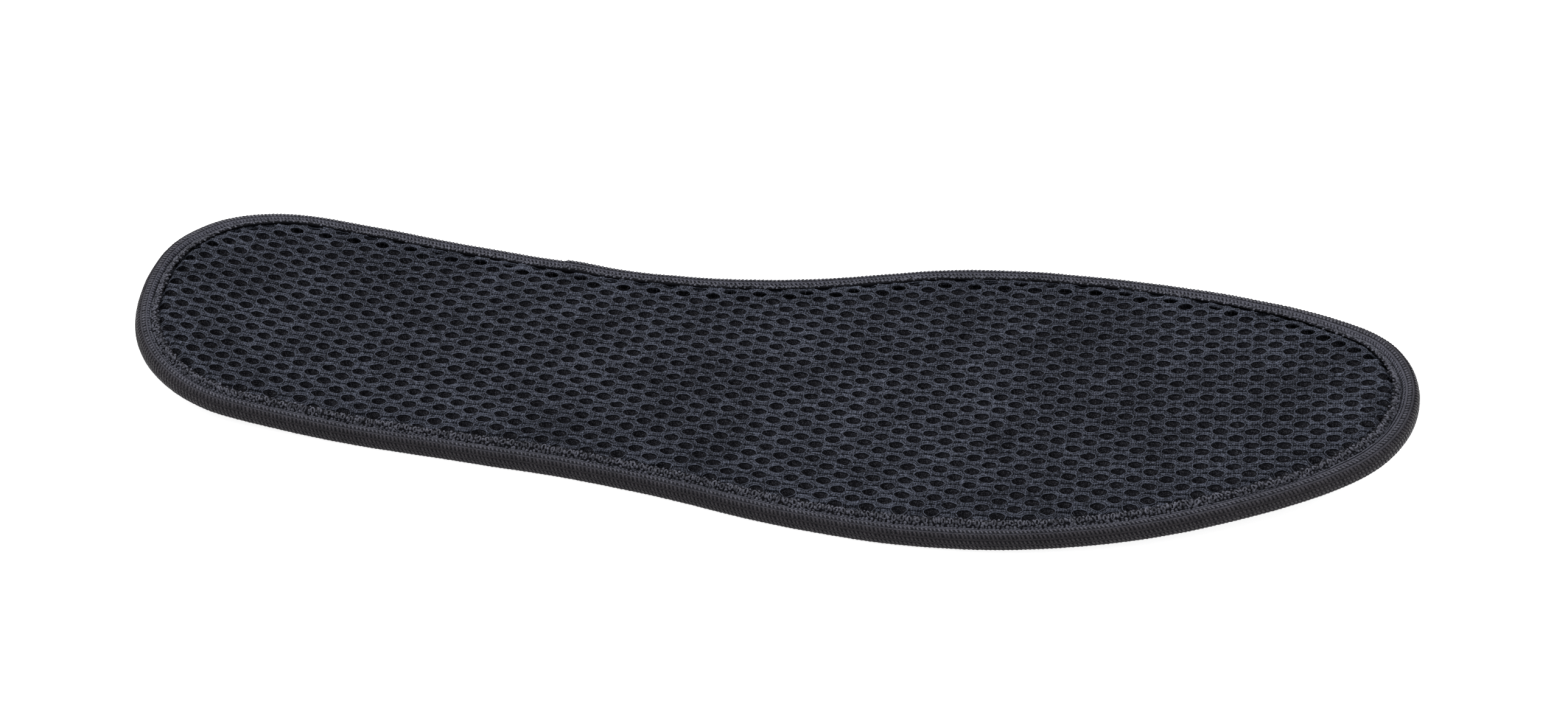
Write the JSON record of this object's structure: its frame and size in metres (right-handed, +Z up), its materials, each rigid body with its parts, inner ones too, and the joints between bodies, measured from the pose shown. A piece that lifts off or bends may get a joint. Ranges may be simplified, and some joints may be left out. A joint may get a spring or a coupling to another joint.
{
  "type": "cushioned insole",
  "caption": "Thin cushioned shoe insole for a right foot: open knitted mesh over a foam sheet and a cloth lining, with a stitched tape folded round the rim.",
  "frame": {"origin": "middle of the bounding box on the underside, which lies on Z = 0", "axes": "+X to the toe, +Y to the medial (arch) side, +Z up, foot side"},
  "size_m": [0.2686, 0.0886, 0.0145],
  "materials": {
    "face_yarn": "matt slate grey textured polyester yarn",
    "pile_yarn": "near black glossy monofilament",
    "ground_yarn": "matt near black knit",
    "bonding_web": "translucent hot-melt web",
    "foam": "matt open-cell foam",
    "lining_cloth": "matt knitted cloth",
    "tape_yarn": "slightly lustrous knitted tape",
    "sewing_thread": "twisted polyester thread, slight sheen"
  },
  "bodies": {
    "root": {"face_net": "face_yarn", "spacer_pile": "pile_yarn", "ground_knit": "ground_yarn", "upper_bonding_web": "bonding_web", "cushion_foam": "foam", "lower_bonding_web": "bonding_web", "bottom_lining": "lining_cloth", "binding_tape": "tape_yarn", "needle_thread": "sewing_thread", "bobbin_thread": "sewing_thread"}
  },
  "joints": []
}
